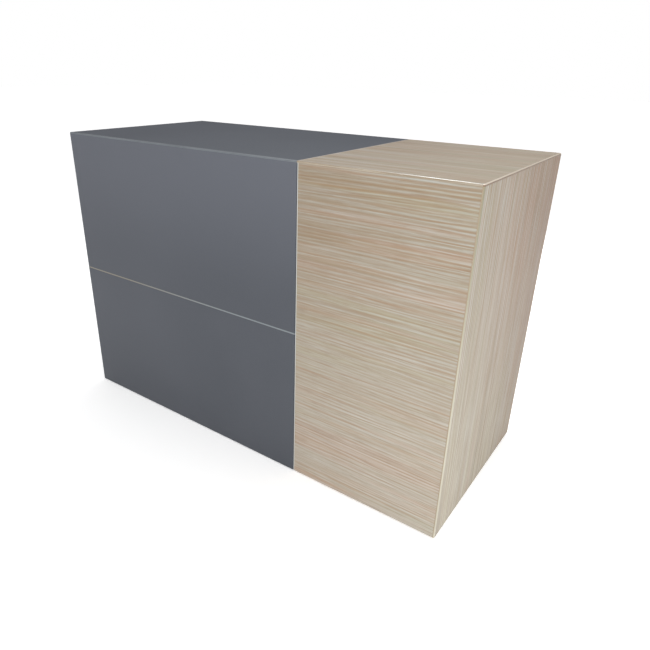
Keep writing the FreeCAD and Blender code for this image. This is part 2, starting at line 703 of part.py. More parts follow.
def hinge(low):
    """One butt hinge standing on the height given."""
    bore = rod(hinge_pin_radius + hinge_pin_fit, vec(axis_x, axis_y, low), up, hinge_height)
    leaf_y = (axis_y - hinge_leaf_width, axis_y)
    leaf_z = (low, low + hinge_height)
    fixed = [box((wood_right_inside - hinge_leaf, wood_right_inside), leaf_y, leaf_z)]
    swinging = [box((door_right, door_right + hinge_leaf), leaf_y, leaf_z)]
    fixed_room = []
    swinging_room = []
    for index in range(hinge_knuckles):
        base = low + index * knuckle_pitch
        knuckle = rod(hinge_knuckle_radius, vec(axis_x, axis_y, base), up, knuckle_pitch)
        room = rod(hinge_knuckle_radius + hinge_knuckle_gap, vec(axis_x, axis_y, base - hinge_knuckle_gap),
                   up, knuckle_pitch + 2 * hinge_knuckle_gap)
        if index % 2 == 0:
            fixed.append(knuckle)
            swinging_room.append(room)
        else:
            swinging.append(rod(hinge_knuckle_radius, vec(axis_x, axis_y, base + hinge_knuckle_gap), up,
                                knuckle_pitch - 2 * hinge_knuckle_gap))
            fixed_room.append(rod(hinge_knuckle_radius + hinge_knuckle_gap, vec(axis_x, axis_y, base), up,
                                  knuckle_pitch))
    pin = rod(hinge_pin_radius, vec(axis_x, axis_y, low), up, hinge_height)
    cap = rod(hinge_pin_cap_radius, vec(axis_x, axis_y, low + hinge_height), up, hinge_pin_cap)
    fixed_leaf = joined(fixed).cut(fixed_room + [bore])
    swinging_leaf = joined(swinging).cut(swinging_room + [bore])
    middle = low + hinge_height / 2
    screw_y = axis_y - hinge_screw_from_barrel
    for z in (middle - hinge_screw_spacing / 2, middle + hinge_screw_spacing / 2):
        screw, hole = countersunk_screw(vec(wood_right_inside - hinge_leaf, screw_y, z), vec(1, 0, 0))
        gather("carcass_screws", screw)
        fixed_leaf = fixed_leaf.cut(hole)
        drill("wood_right_end_panel", hole)
        screw, hole = countersunk_screw(vec(door_right + hinge_leaf, screw_y, z), vec(-1, 0, 0))
        gather("door_screws", screw)
        swinging_leaf = swinging_leaf.cut(hole)
        drill("wood_door", hole)
    gather("hinge_panel_leaves", fixed_leaf)
    gather("hinge_door_leaves", swinging_leaf)
    gather("hinge_pins", joined([pin, cap]))


hinge(door_low + hinge_from_end)
hinge(door_high - hinge_from_end - hinge_height)


def handle(prefix, front_name, centre, along):
    """Round bar on two posts, screwed on from behind; centre lies on the front's outer face."""
    bar_y = face_outside + handle_reach - handle_radius
    ends = [centre + along * (side * handle_spacing / 2) for side in (-1, 1)]
    bar_start = vec(centre.x, bar_y, centre.z) - along * (handle_spacing / 2 + handle_overhang)
    grip = [rod(handle_radius, bar_start, along, handle_spacing + 2 * handle_overhang)]
    bores = []
    outwards = vec(0, 1, 0)
    for end in ends:
        grip.append(rod(handle_post_radius, end, outwards, bar_y - face_outside))
        inside = vec(end.x, face_inside, end.z)
        length = board + handle_screw_in_post
        head_start = inside - outwards * handle_screw_head
        head = rod(handle_screw_head_radius, head_start, outwards, handle_screw_head)
        shank = rod(handle_screw_radius, inside, outwards, length)
        gather(prefix + "_screws", joined([head, shank]))
        bores.append(rod(handle_screw_radius + screw_fit, end, outwards, handle_screw_in_post + screw_fit))
        drill(front_name, rod(handle_screw_radius + handle_hole_fit, inside, outwards, board))
    solids[prefix + "_handle"] = joined(grip).cut(bores)


bay_centre_x = (partition_right + grey_right_inside) / 2
door_lock_x = wood_left_inside + strike_sheet + lock_cam_tip_room + lock_cam_reach
drawer_handle_z = face_low + drawer_handle_above_face_bottom
door_handle_z = door_lock_height + door_handle_above_lock
handle("drawer", "drawer_face", vec(bay_centre_x, face_outside, drawer_handle_z), vec(1, 0, 0))
handle("door", "wood_door", vec(door_lock_x, face_outside, door_handle_z), up)


def cam_lock(prefix, front_name, x, z, cam_turn):
    """Cam lock through a front: flanged body, ring nut, keyed plug and a cam on the plug's square tail."""
    inwards = vec(0, -1, 0)
    outside = vec(x, face_outside, z)
    body_length = board + lock_barrel_past_front
    flange = rod(lock_flange_radius, vec(x, face_outside + lock_flange, z), inwards, lock_flange)
    barrel = rod(lock_barrel_radius, outside, inwards, body_length)
    bore = rod(lock_plug_radius, vec(x, face_outside + lock_flange, z), inwards, body_length + lock_flange)
    solids[prefix + "_lock_body"] = joined([flange, barrel]).cut(bore)
    drill(front_name, rod(lock_barrel_radius + lock_hole_fit, outside, inwards, board))
    nut = rod(lock_nut_radius, vec(x, face_inside, z), inwards, lock_nut)
    nut_bore = rod(lock_barrel_radius + lock_nut_fit, vec(x, face_inside, z), inwards, lock_nut)
    solids[prefix + "_lock_nut"] = nut.cut(nut_bore)
    plug_front = face_outside + lock_flange - lock_plug_recess
    plug_back = face_outside - body_length
    plug = rod(lock_plug_radius - lock_plug_fit, vec(x, plug_front, z), inwards, plug_front - plug_back)
    half_tail = lock_tail / 2
    tail = box((x - half_tail, x + half_tail), (plug_back - lock_tail_length, plug_back),
               (z - half_tail, z + half_tail))
    slot = box((x - lock_slot_width / 2, x + lock_slot_width / 2), (plug_front - lock_slot_depth, plug_front),
               (z - lock_slot_height / 2, z + lock_slot_height / 2))
    solids[prefix + "_lock_plug"] = joined([plug, tail]).cut(slot)
    cam_front = plug_back - lock_cam_room
    hub = rod(lock_cam_hub_radius, vec(x, cam_front, z), inwards, lock_cam)
    arm = box((x, x + lock_cam_reach), (cam_front - lock_cam, cam_front),
              (z - lock_cam_width / 2, z + lock_cam_width / 2))
    arm.rotate(vec(x, cam_front, z), vec(0, 1, 0), cam_turn)
    solids[prefix + "_lock_cam"] = joined([hub, arm]).cut(tail)


def strike_screw(at, into, board_name):
    """Pan-headed screw through a strike into its board."""
    head = rod(strike_screw_head_radius, at - into * strike_screw_head, into, strike_screw_head)
    gather("carcass_screws", joined([head, rod(strike_screw_radius, at, into, strike_screw_length)]))
    for name in ("lock_strikes", board_name):
        drill(name, rod(strike_screw_radius + screw_fit, at, into, strike_screw_length + screw_fit))


drawer_lock_z = face_high - drawer_lock_below_edge
cam_lock("drawer", "drawer_face", bay_centre_x, drawer_lock_z, 0)
cam_lock("door", "wood_door", door_lock_x, door_lock_height, 90)

# Strikes behind which the cams turn
half_strike = strike_width / 2
drawer_strike = box((bay_centre_x - half_strike, bay_centre_x + half_strike),
                    (face_inside - strike_sheet, face_inside), (rail_low, rail_low + drawer_strike_height))
strike_z = (door_lock_height - half_strike, door_lock_height + half_strike)
lip_back = face_inside - 2 * strike_sheet
strike_plate = box((wood_left_inside, wood_left_inside + strike_sheet),
                   (lip_back + strike_sheet - door_strike_depth, lip_back + strike_sheet), strike_z)
strike_lip = box((wood_left_inside, wood_left_inside + door_strike_lip),
                 (lip_back, lip_back + strike_sheet), strike_z)
solids["lock_strikes"] = [drawer_strike, joined([strike_plate, strike_lip])]
for offset in (-strike_screw_spacing / 2, strike_screw_spacing / 2):
    at = vec(bay_centre_x + offset, face_inside - strike_sheet, rail_low + drawer_strike_height * 2 / 3)
    strike_screw(at, vec(0, 1, 0), "drawer_top_rail")
    at = vec(wood_left_inside + strike_sheet, lip_back - door_strike_depth / 2, door_lock_height + offset)
    strike_screw(at, vec(-1, 0, 0), "wood_left_side_panel")

# Cut the holes and write one file for each piece or group
os.makedirs("parts", exist_ok=True)
for name, shape in solids.items():
    if isinstance(shape, list):
        shape = Part.makeCompound(shape)
    if name in holes:
        shape = shape.cut(holes[name])
    shape.exportStep("parts/" + name + ".step")
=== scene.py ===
import bpy
import numpy as np
from mathutils import Matrix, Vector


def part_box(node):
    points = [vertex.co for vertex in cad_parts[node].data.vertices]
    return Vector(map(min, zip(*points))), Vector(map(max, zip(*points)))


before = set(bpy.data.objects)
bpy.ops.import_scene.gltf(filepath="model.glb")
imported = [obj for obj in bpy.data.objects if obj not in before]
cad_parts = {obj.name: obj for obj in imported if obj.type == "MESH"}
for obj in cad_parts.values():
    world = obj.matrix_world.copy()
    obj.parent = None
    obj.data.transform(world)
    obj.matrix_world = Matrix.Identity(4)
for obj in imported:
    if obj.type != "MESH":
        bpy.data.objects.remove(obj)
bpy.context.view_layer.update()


# Grey boards
# Chipboard with a satin blue-grey laminate on both faces and a grey edge band, sawn to size, mitred where
# two outer boards meet and doweled, bolted or glued to its neighbours. Their tones carry painted shade:
# darker towards the floor, more so towards the seam, and darker on the worktop than on the fronts.
class Value:
    """An output socket; arithmetic with numbers and other values adds Math nodes to its tree."""

    def __init__(self, maker, socket):
        self.maker = maker
        self.socket = socket

    def math(self, operation, first, second=0.0):
        return self.maker.node("ShaderNodeMath", {"operation": operation}, {0: first, 1: second})

    def __add__(self, other):
        return self.math("ADD", self, other)

    def __sub__(self, other):
        return self.math("SUBTRACT", self, other)

    def __rsub__(self, other):
        return self.math("SUBTRACT", other, self)

    def __mul__(self, other):
        return self.math("MULTIPLY", self, other)

    def __abs__(self):
        return self.math("ABSOLUTE", self)

    __radd__ = __add__
    __rmul__ = __mul__

    def least(self, other):
        return self.math("MINIMUM", self, other)

    def most(self, other):
        return self.math("MAXIMUM", self, other)

    def wave(self):
        return self.math("SINE", self)

    def ramp(self, low, high):
        """Smooth step from 0 at low to 1 at high; with low above high it falls instead."""
        ends = {"Value": self, "From Min": low, "From Max": high}
        return self.maker.node("ShaderNodeMapRange", {"interpolation_type": "SMOOTHSTEP"}, ends)


class NodeMaker:
    """Adds nodes to one node tree."""

    def __init__(self, tree):
        self.tree = tree

    def node(self, kind, settings=None, inputs=None, output=0):
        """Any node: its settings are set first, then values or links go to its sockets."""
        made = self.tree.nodes.new(kind)
        for key, value in (settings or {}).items():
            setattr(made, key, value)
        for key, value in (inputs or {}).items():
            self.feed(made.inputs[key], value)
        return Value(self, made.outputs[output])

    def feed(self, socket, value):
        """Link a value to a socket, or set a plain number, colour or vector on it."""
        if isinstance(value, Value):
            self.tree.links.new(value.socket, socket)
        else:
            socket.default_value = value


class Finish(NodeMaker):
    """A material under construction: its nodes, its Principled shader and the place on the piece."""

    def __init__(self, name, **constants):
        self.material = bpy.data.materials.new(name)
        self.material.use_nodes = True
        super().__init__(self.material.node_tree)
        self.shader = self.tree.nodes["Principled BSDF"]
        for socket, value in constants.items():
            self.set(socket.replace("_", " "), value)
        self.place = self.node("ShaderNodeTexCoord", output="Object")

    def set(self, socket, value):
        self.feed(self.shader.inputs[socket], value)

    def axes(self):
        """The place split into X, Y and Z."""
        return [self.node("ShaderNodeSeparateXYZ", {}, {"Vector": self.place}, axis) for axis in range(3)]

    def noise(self, scale, detail=2.0, roughness=0.5, offset=(0.0, 0.0, 0.0)):
        """Noise from 0 to 1; scale is its features per metre, one number or one for each axis."""
        spread = {"Vector": self.place, "Scale": np.broadcast_to(scale, 3).tolist(), "Location": offset}
        mapped = self.node("ShaderNodeMapping", {}, spread)
        pattern = {"Vector": mapped, "Scale": 1.0, "Detail": detail, "Roughness": roughness}
        return self.node("ShaderNodeTexNoise", {}, pattern)

    def blend(self, factor, first, second):
        """Colour mix: first where the factor is 0, second where it is 1."""
        return self.node("ShaderNodeMix", {"data_type": "RGBA"}, {0: factor, 6: first, 7: second}, 2)

    def stain(self, tone, colour, where, share):
        """Lay a colour over a tone; where the mask is 1, the colour has the given share of the mix."""
        return self.blend(where * share, tone, colour)

    def bump(self, height, depth, strength):
        """Normal from a height field; depth is in metres for a height of 1."""
        relief = {"Height": height, "Distance": depth, "Strength": strength}
        self.set("Normal", self.node("ShaderNodeBump", {}, relief))

    def dress(self, *names):
        """Put the finish on named nodes of the frame."""
        for name in names:
            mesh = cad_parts[name].data
            mesh.materials.clear()
            mesh.materials.append(self.material)


def linear(red, green, blue):
    """Shader colour from screen values of 0 to 255."""
    screen = np.array([red, green, blue]) / 255.0
    light = np.where(screen <= 0.04045, screen / 12.92, ((screen + 0.055) / 1.055) ** 2.4)
    return (*light, 1.0)


def edge_reach(finish, name):
    """Distance in metres to a board's nearest edge: the middle one of its three distances to the faces."""
    reaches = []
    for place, low, high in zip(finish.axes(), *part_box(name)):
        reaches.append((high - low) / 2 - abs(place - (low + high) / 2))
    first, second, third = reaches
    return first.least(second).most(first.most(second).least(third))


def edge_line(reach):
    """A hairline a millimetre inside a board's edge, where its edge band is glued on."""
    return reach.ramp(0.0006, 0.0009) * reach.ramp(0.0013, 0.0010)


left_end = -0.75
seam = 0.25
wear_begins = 0.0014
wear_full = 0.0002
cloud_grey = linear(101, 104, 112)
speck_grey = linear(100, 104, 111)
line_grey = linear(44, 47, 51)
worn_grey = linear(124, 128, 134)


def grey_board(name, upper, lower):
    """Laminate on one board: upper is its tone at the worktop, lower the painted shade it nears at the
    floor.
    """
    grey = Finish(name + "_laminate", Specular_IOR_Level=0.2)
    cloud = grey.noise(2.2)
    speck = grey.noise(900.0, roughness=0.7)
    rub = grey.noise(90.0, 4.0, 0.65)
    along, _, height = grey.axes()
    # Painted shade: the tone darkens towards the floor, more so towards the seam.
    floor_shade = height.ramp(1.04, 0.52) * 0.58 + height.ramp(0.5, -0.15) * 0.26
    seam_shade_gain = 0.87 + along.ramp(left_end, seam) * 0.27
    tone = grey.blend(floor_shade * seam_shade_gain, upper, lower)
    tone = grey.stain(tone, cloud_grey, cloud.ramp(0.3, 0.7), share=0.20)
    tone = grey.stain(tone, speck_grey, speck.ramp(0.35, 0.75), share=0.30)
    reach = edge_reach(grey, name)
    tone = grey.stain(tone, line_grey, edge_line(reach), share=0.35)
    worn = reach.ramp(wear_begins, wear_full) * rub.ramp(0.50, 0.72)
    grey.set("Base Color", grey.stain(tone, worn_grey, worn, share=0.5))
    grey.set("Roughness", 0.50 + rub.ramp(0.35, 0.7) * 0.03 + speck * 0.06)
    grey.bump(speck, depth=0.00012, strength=0.35)
    grey.dress(name)


# Tone pairs: the tone at the worktop and the painted shade near the floor.
lit_and_shaded_front_tones = (linear(102, 105, 113), linear(68, 71, 77))
# The worktop is painted a shade darker than the fronts, as painted shade.
shaded_top_tones = (linear(82, 85, 93), linear(82, 85, 93))
lit_and_shaded_inside_tones = (linear(96, 99, 107), linear(90, 93, 101))
own_tones = {"grey_left_end_panel": lit_and_shaded_front_tones, "grey_upper_front_panel": lit_and_shaded_front_tones,
             "grey_lower_front_panel": lit_and_shaded_front_tones, "grey_top_panel": shaded_top_tones}
grey_boards = [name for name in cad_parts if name.startswith("grey_") and "strip" not in name]
for board_name in grey_boards + ["drawer_bay_shelf", "drawer_top_rail", "drawer_face"]:
    grey_board(board_name, *own_tones.get(board_name, lit_and_shaded_inside_tones))

# Strip between the two grey fronts
# A flat bar of brushed aluminium, anodised, pressed into the gap between the upper and lower front panel;
# its brushing runs along its length, and its tone goes from warm near the left end to cool at the seam.
strip = Finish("brushed_front_strip", Metallic=1.0)
warm_metal = linear(145, 139, 127)
cool_metal = linear(143, 150, 153)
cloudy_metal = linear(164, 166, 168)
brushing = strip.noise((6.0, 1400.0, 1400.0), 3.0, 0.7)
cloud = strip.noise((1.6, 20.0, 20.0))
warm_to_cool = strip.axes()[0].ramp(-0.7, 0.1)
tone = strip.blend(warm_to_cool, warm_metal, cool_metal)
strip.set("Base Color", strip.stain(tone, cloudy_metal, cloud.ramp(0.3, 0.7), share=0.3))
strip.set("Roughness", 0.30 + brushing * 0.22)
strip.bump(brushing, depth=0.00005, strength=0.5)
strip.dress("grey_front_strip")

# Grey corner strips
# Rounded plastic edging, glued into a rebate along each outer corner where two boards meet in a mitre;
# it is a little lighter than the boards and rubs shiny where people lean on it.
plastic = Finish("grey_corner_strips_edging", Specular_IOR_Level=0.5)
main_plastic = linear(108, 113, 118)
light_plastic = linear(118, 123, 128)
rubbed_plastic = linear(136, 140, 144)
drift = plastic.noise(3.0, 3.0)
grit = plastic.noise(700.0, roughness=0.6)
rub = plastic.noise(14.0, 4.0, 0.65)
tone = plastic.blend(drift.ramp(0.3, 0.7), main_plastic, light_plastic)
plastic.set("Base Color", plastic.stain(tone, rubbed_plastic, rub.ramp(0.55, 0.75), share=0.4))
plastic.set("Roughness", 0.42 - rub.ramp(0.45, 0.75) * 0.14 + grit * 0.05)
plastic.bump(grit, depth=0.00008, strength=0.3)
plastic.dress("grey_corner_strips")


# Wood corner strips
# The same rounded edging in wood tones, printed like the boards along the front and brown on the front
# corner's
# front half. Painted highlights: a cream bead up the right of the front corner, paler towards the floor, a
# pale line along the right top edge over a dark brown painted shadow line, and near white up the seam with
# the grey box.
def past(place, line, softness):
    """0 before a line across an axis and 1 past it."""
    return place.ramp(line - softness, line + softness)


lip = Finish("wood_corner_strips_edging", Specular_IOR_Level=0.5)
strip_width = 0.005
# Depth of the painted shadow line and widths of the painted highlights:
shadow_line_depth = 0.0019
highlight_bead_width = 0.0029
seam_highlight_width = 0.00465
# The near white, the creams and the palest edge tone are painted highlights; the darkest brown is a painted
# shadow line.
seam_highlight_white = linear(198, 202, 200)
seam_brown = linear(170, 155, 135)
highlight_cream_above = linear(152, 145, 122)
highlight_cream_below = linear(208, 203, 184)
corner_brown = linear(164, 147, 122)
shadow_line_brown = linear(130, 104, 84)
highlight_pale = linear(234, 221, 204)
print_brown = linear(158, 141, 120)
print_pale = linear(178, 166, 148)
drift_brown = linear(170, 156, 136)
fleck_pale = linear(214, 206, 190)
strips_low, strips_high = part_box("wood_corner_strips")
x, _, z = lip.axes()
drift = lip.noise(3.0, 3.0)
fleck = lip.noise(260.0, 3.0, 0.6)
streak = lip.noise((5.0, 220.0, 220.0))
on_top = past(z, strips_high.z - strip_width, 0.0002)
on_right = past(x, strips_high.x - strip_width, 0.0002)
front_tone = lip.blend(streak.ramp(0.35, 0.65), print_brown, print_pale)
# Painted highlight along the right top edge, over a painted shadow line below it.
right_edge_painted_tone = lip.blend(past(z, strips_high.z - shadow_line_depth, 0.0003), shadow_line_brown, highlight_pale)
# Painted highlight: the cream bead on the front corner's right side, paler towards the floor.
highlight_cream = lip.blend(z.ramp(1.05, 0.25), highlight_cream_above, highlight_cream_below)
corner_tone = lip.blend(past(x, strips_high.x - highlight_bead_width, 0.0003), corner_brown, highlight_cream)
# Painted highlight: the seam strip near white, brown only along its far edge.
seam_tone = lip.blend(past(x, strips_low.x + seam_highlight_width, 0.00025), seam_highlight_white, seam_brown)
upright_tone = lip.blend(on_right, seam_tone, corner_tone)
level_tone = lip.blend(on_right, front_tone, right_edge_painted_tone)
tone = lip.blend(on_top, upright_tone, level_tone)
tone = lip.stain(tone, drift_brown, drift.ramp(0.35, 0.7), share=0.15)
lip.set("Base Color", lip.stain(tone, fleck_pale, fleck.ramp(0.55, 0.75), share=0.2))
lip.set("Roughness", 0.24 + fleck * 0.08 + drift * 0.04)
lip.bump(fleck, depth=0.00003, strength=0.06)
lip.dress("wood_corner_strips")

# Wood boards
# Chipboard with a printed pale-wood laminate and pressed pores; its fine, streaky grain runs along the front
# and the top and upright on the end panel and the door. The outer boards carry painted light and shade:
# paler towards the right front, darker towards the seam on the front and top, towards the rear on the end
# panel and more so at its rear foot.
base_brown = linear(150, 134, 111)
base_pale = linear(157, 146, 128)
foot_pale = linear(191, 184, 170)
blush_rose = linear(204, 152, 132)
hue_rose = linear(188, 155, 138)
hue_olive = linear(165, 162, 127)
streak_honey = linear(174, 140, 108)
streak_ash = linear(182, 180, 172)
stripe_brown = linear(140, 112, 90)
stripe_pale = linear(196, 191, 182)
line_pale_above = linear(192, 196, 193)
line_pale_below = linear(215, 212, 205)
ring_brown = linear(144, 106, 68)
vein_brown = linear(146, 109, 73)
hair_brown = linear(146, 106, 67)
fibre_brown = linear(150, 118, 84)
fine_brown = linear(141, 119, 96)
pore_brown = linear(118, 96, 74)
# Tones of the painted light and the painted shade on the outer boards.
painted_light_pale = linear(226, 222, 202)
painted_shade_deep = linear(128, 108, 84)
edge_brown = linear(120, 98, 76)
seam_pale = linear(208, 196, 186)
rear_edge = 0.325
edge_band = 0.0015
seam_line_width = 0.004
full_turn = 2.0 * np.pi


def wood_board(name, grain, seed, foot=foot_pale, blush=0.10, bleach=0.0, stripes=0.10, hues=1.0,
               seam_light=0.0, shading=None):
    """Laminate on one board: grain is the axis its grain follows, seed moves the pattern, foot is the tone
    near the floor, the numbers are shares of each overlaid colour, and shading is painted light and shade
    across the board."""
    wood = Finish(name + "_laminate", Specular_IOR_Level=0.4)
    axes = wood.axes()
    across = sum(axes[axis] for axis in range(3) if axis != grain)

    def streaks(along_scale, across_scale, detail, shift):
        """Noise drawn out along the grain."""
        scale = [across_scale] * 3
        scale[grain] = along_scale
        return wood.noise(scale, detail, 0.55, (seed + shift, seed * 1.7, shift * 2.3))

    def lines(spacing, wander, along_scale, across_scale, shift):
        """Wavy lines along the grain: a sine across the board whose phase wanders with slow noise."""
        phase = across * (1.0 / spacing) + streaks(along_scale, across_scale, 2.0, shift) * wander
        return (phase * full_turn).wave()

    def showing(along_scale, across_scale, shift):
        """Where lines show and where they fade out."""
        return streaks(along_scale, across_scale, 2.0, shift).ramp(0.36, 0.62)

    contrast = 0.64 + axes[2].ramp(0.45, 1.05) * 0.42
    # With shading, the grain lines' strength also follows the painted light and shade across the board.
    if shading:
        shaded_side = axes[shading["axis"]].ramp(shading["pale_from"], shading["deep_from"])
        line_change = shading["deep_lines"] - shading["pale_lines"]
        contrast = contrast * (shading["pale_lines"] + shaded_side * line_change)
    patch = (0.6 + streaks(1.1, 9.0, 1.0, 21.6).ramp(0.36, 0.62) * 0.4) * contrast

    band = streaks(0.7, 14.0, 2.0, 7.7)
    tone = wood.blend(band.ramp(0.34, 0.66), base_brown, base_pale)
    tone = wood.blend(axes[2].ramp(1.0, 0.0) * 0.80 + bleach, tone, foot)
    towards_rear = axes[1].ramp(-0.45, 0.33) * axes[1].ramp(rear_edge, rear_edge - edge_band)
    tone = wood.stain(tone, blush_rose, towards_rear * axes[2].ramp(0.15, 0.88), blush)
    hue = streaks(0.9, 24.0, 2.0, 18.3)
    tone = wood.stain(tone, hue_rose, hue.ramp(0.52, 0.68), 0.22 * hues)
    tone = wood.stain(tone, hue_olive, hue.ramp(0.46, 0.32), 0.18 * hues)
    warm = streaks(1.5, 60.0, 2.0, 12.4)
    warmth = 1.25 - axes[2] * 0.6
    tone = wood.stain(tone, streak_honey, warm.ramp(0.50, 0.68) * warmth, share=0.34)
    tone = wood.stain(tone, streak_ash, warm.ramp(0.42, 0.28) * warmth, share=0.40)
    stripe = streaks(0.8, 34.0, 3.0, 25.4)
    tone = wood.stain(tone, stripe_brown, stripe.ramp(0.52, 0.68), stripes)
    tone = wood.stain(tone, stripe_pale, stripe.ramp(0.48, 0.32), stripes)

    line_pale = wood.blend(axes[2].ramp(0.9, 0.1), line_pale_above, line_pale_below)
    ring = lines(0.0135, 2.2, 1.5, 22.0, 1.3)
    vein = lines(0.0090, 2.4, 2.8, 34.0, 15.1)
    hair = lines(0.0112, 2.8, 2.0, 28.0, 30.2)
    drawn_lines = ((ring, showing(1.6, 60.0, 4.4) * patch, ring_brown, 0.30, 0.27),
                   (vein, showing(2.4, 90.0, 6.8) * patch, vein_brown, 0.40, 0.36),
                   (hair, showing(2.0, 70.0, 33.8) * contrast, hair_brown, 0.31, 0.28))
    for line, shown, brown, brown_share, pale_share in drawn_lines:
        tone = wood.stain(tone, brown, line.ramp(0.2, 1.0) * shown, brown_share)
        tone = wood.stain(tone, line_pale, line.ramp(-0.2, -1.0) * shown, pale_share)
    fibre = streaks(7.0, 210.0, 2.0, 41.5)
    tone = wood.stain(tone, fibre_brown, fibre.ramp(0.52, 0.70), share=0.24)
    tone = wood.stain(tone, line_pale, fibre.ramp(0.48, 0.30), share=0.24)
    fine = streaks(14.0, 480.0, 2.0, 5.9)
    tone = wood.stain(tone, fine_brown, fine.ramp(0.52, 0.70), share=0.34)
    pores = streaks(34.0, 950.0, 1.0, 9.2).ramp(0.60, 0.72)
    tone = wood.stain(tone, pore_brown, pores, share=0.22)

    # Painted light and shade: paler towards the lit side, darker towards the shaded side and at the end
    # panel's rear foot.
    if shading:
        tone = wood.stain(tone, painted_light_pale, 1.0 - shaded_side, shading["pale"])
        tone = wood.stain(tone, painted_shade_deep, shaded_side, shading["deep"])
        rear_foot_shade = axes[1].ramp(0.12, 0.33) * axes[2].ramp(0.95, 0.35)
        tone = wood.stain(tone, painted_shade_deep, rear_foot_shade, shading["rear_foot_shade"])
    tone = wood.stain(tone, edge_brown, edge_line(edge_reach(wood, name)), share=0.45)
    beside_seam = 1.0 - past(axes[0], seam + seam_line_width, 0.0005)
    wood.set("Base Color", wood.stain(tone, seam_pale, beside_seam, seam_light))
    wood.set("Roughness", 0.46 + fine * 0.12 + pores * 0.10)
    wood.bump(fine * 0.6 - pores * 0.6, depth=0.00018, strength=0.5)
    wood.dress(name)


along_x = 0
upright = 2
# Painted light and shade on the outer boards: the axis it runs along, where it is palest and darkest, how
# much of each, and how strong the grain lines are at each end.
front_to_seam = {"axis": 0, "pale_from": 0.75, "deep_from": seam}
front_to_rear = {"axis": 1, "pale_from": -0.40, "deep_from": 0.40}
front_shading = {**front_to_seam, "pale": 0.05, "deep": 0.10, "rear_foot_shade": 0.0,
                 "pale_lines": 1.22, "deep_lines": 0.82}
top_shading = {**front_to_seam, "pale": 0.07, "deep": 0.16, "rear_foot_shade": 0.0,
               "pale_lines": 1.0, "deep_lines": 1.0}
end_shading = {**front_to_rear, "pale": 0.18, "deep": 0.44, "rear_foot_shade": 0.22,
               "pale_lines": 2.7, "deep_lines": 2.7}
own_looks = {
    "wood_front_panel": {"stripes": 0.16, "hues": 1.6, "shading": front_shading},
    "wood_top_panel": {"foot": linear(197, 178, 151), "bleach": 0.62, "stripes": 0.72, "hues": 2.8,
                       "seam_light": 0.75, "shading": top_shading},
    "wood_right_end_panel": {"foot": linear(209, 205, 182), "blush": 0.80, "stripes": 0.66, "hues": 3.0,
                             "shading": end_shading},
}
grain_and_seed = {"wood_front_panel": (along_x, 3.66), "wood_top_panel": (along_x, 5.53),
                  "wood_right_end_panel": (upright, 7.4), "wood_left_side_panel": (upright, 11.1),
                  "wood_bottom_panel": (along_x, 14.8), "wood_rear_plinth": (along_x, 18.5),
                  "wood_shelf": (along_x, 22.2), "wood_door": (upright, 25.9)}
for board_name, (grain, seed) in grain_and_seed.items():
    wood_board(board_name, grain, seed, **own_looks.get(board_name, {}))

# Dowels and biscuits
# Turned dowels and pressed biscuits of beech, glued into the boards' joints, out of sight once the counter
# is together.
beech = Finish("beech_dowels")
beech_brown = linear(190, 152, 110)
beech_pale = linear(214, 180, 140)
fibre = beech.noise((400.0, 400.0, 60.0), 3.0, 0.6)
beech.set("Base Color", beech.blend(fibre.ramp(0.3, 0.7), beech_brown, beech_pale))
beech.set("Roughness", 0.6 + fibre * 0.2)
beech.bump(fibre, depth=0.0001, strength=0.5)
beech.dress("dowels_and_biscuits", "drawer_dowels")

# Zinc-plated fittings
# Cam fittings, joining bolts, screws, shelf supports, axles, lock cams and strikes: pressed or turned
# steel with a thin bluish zinc plating that is cloudy and slightly scratched.
zinc = Finish("zinc_plate", Metallic=1.0)
zinc_blue = linear(170, 174, 178)
zinc_pale = linear(206, 208, 208)
cloud = zinc.noise(120.0, 3.0, 0.6)
scratch = zinc.noise((60.0, 900.0, 900.0), roughness=0.6)
zinc.set("Base Color", zinc.blend(cloud.ramp(0.3, 0.7), zinc_blue, zinc_pale))
zinc.set("Roughness", 0.28 + cloud * 0.15 + scratch * 0.1)
zinc.bump(scratch, depth=0.00003, strength=0.4)
zinc.dress("cam_fittings", "box_joining_bolts", "carcass_screws", "drawer_screws", "door_screws",
           "shelf_supports", "lock_strikes", "runner_cabinet_axles", "runner_drawer_axles",
           "drawer_lock_cam", "door_lock_cam")

# Floor glides
# Black nylon discs fixed under the uprights, so that no board stands on a wet floor; scuffed where the
# counter has been slid along.
nylon = Finish("glide_nylon")
nylon_black = linear(34, 34, 35)
scuff_grey = linear(86, 84, 82)
scuff = nylon.noise(260.0, 3.0, 0.6)
nylon.set("Base Color", nylon.blend(scuff.ramp(0.5, 0.75), nylon_black, scuff_grey))
nylon.set("Roughness", 0.5 + scuff * 0.3)
nylon.bump(scuff, depth=0.0001, strength=0.5)
nylon.dress("floor_glides")

# Drawer box
# White melamine on thin chipboard for the sides and back, and a white hardboard bottom let into
# grooves; the faces have the fine pebble of pressed melamine.
melamine = Finish("drawer_melamine")
melamine_white = linear(228, 227, 222)
grime_grey = linear(205, 202, 194)
pebble = melamine.noise(800.0, roughness=0.6)
grime = melamine.noise(7.0, 4.0, 0.6)
melamine.set("Base Color", melamine.stain(melamine_white, grime_grey, grime.ramp(0.5, 0.8), share=0.5))
melamine.set("Roughness", 0.40 + pebble * 0.12 + grime * 0.06)
melamine.bump(pebble, depth=0.0001, strength=0.4)
melamine.dress("drawer_left_side", "drawer_right_side", "drawer_back", "drawer_bottom")

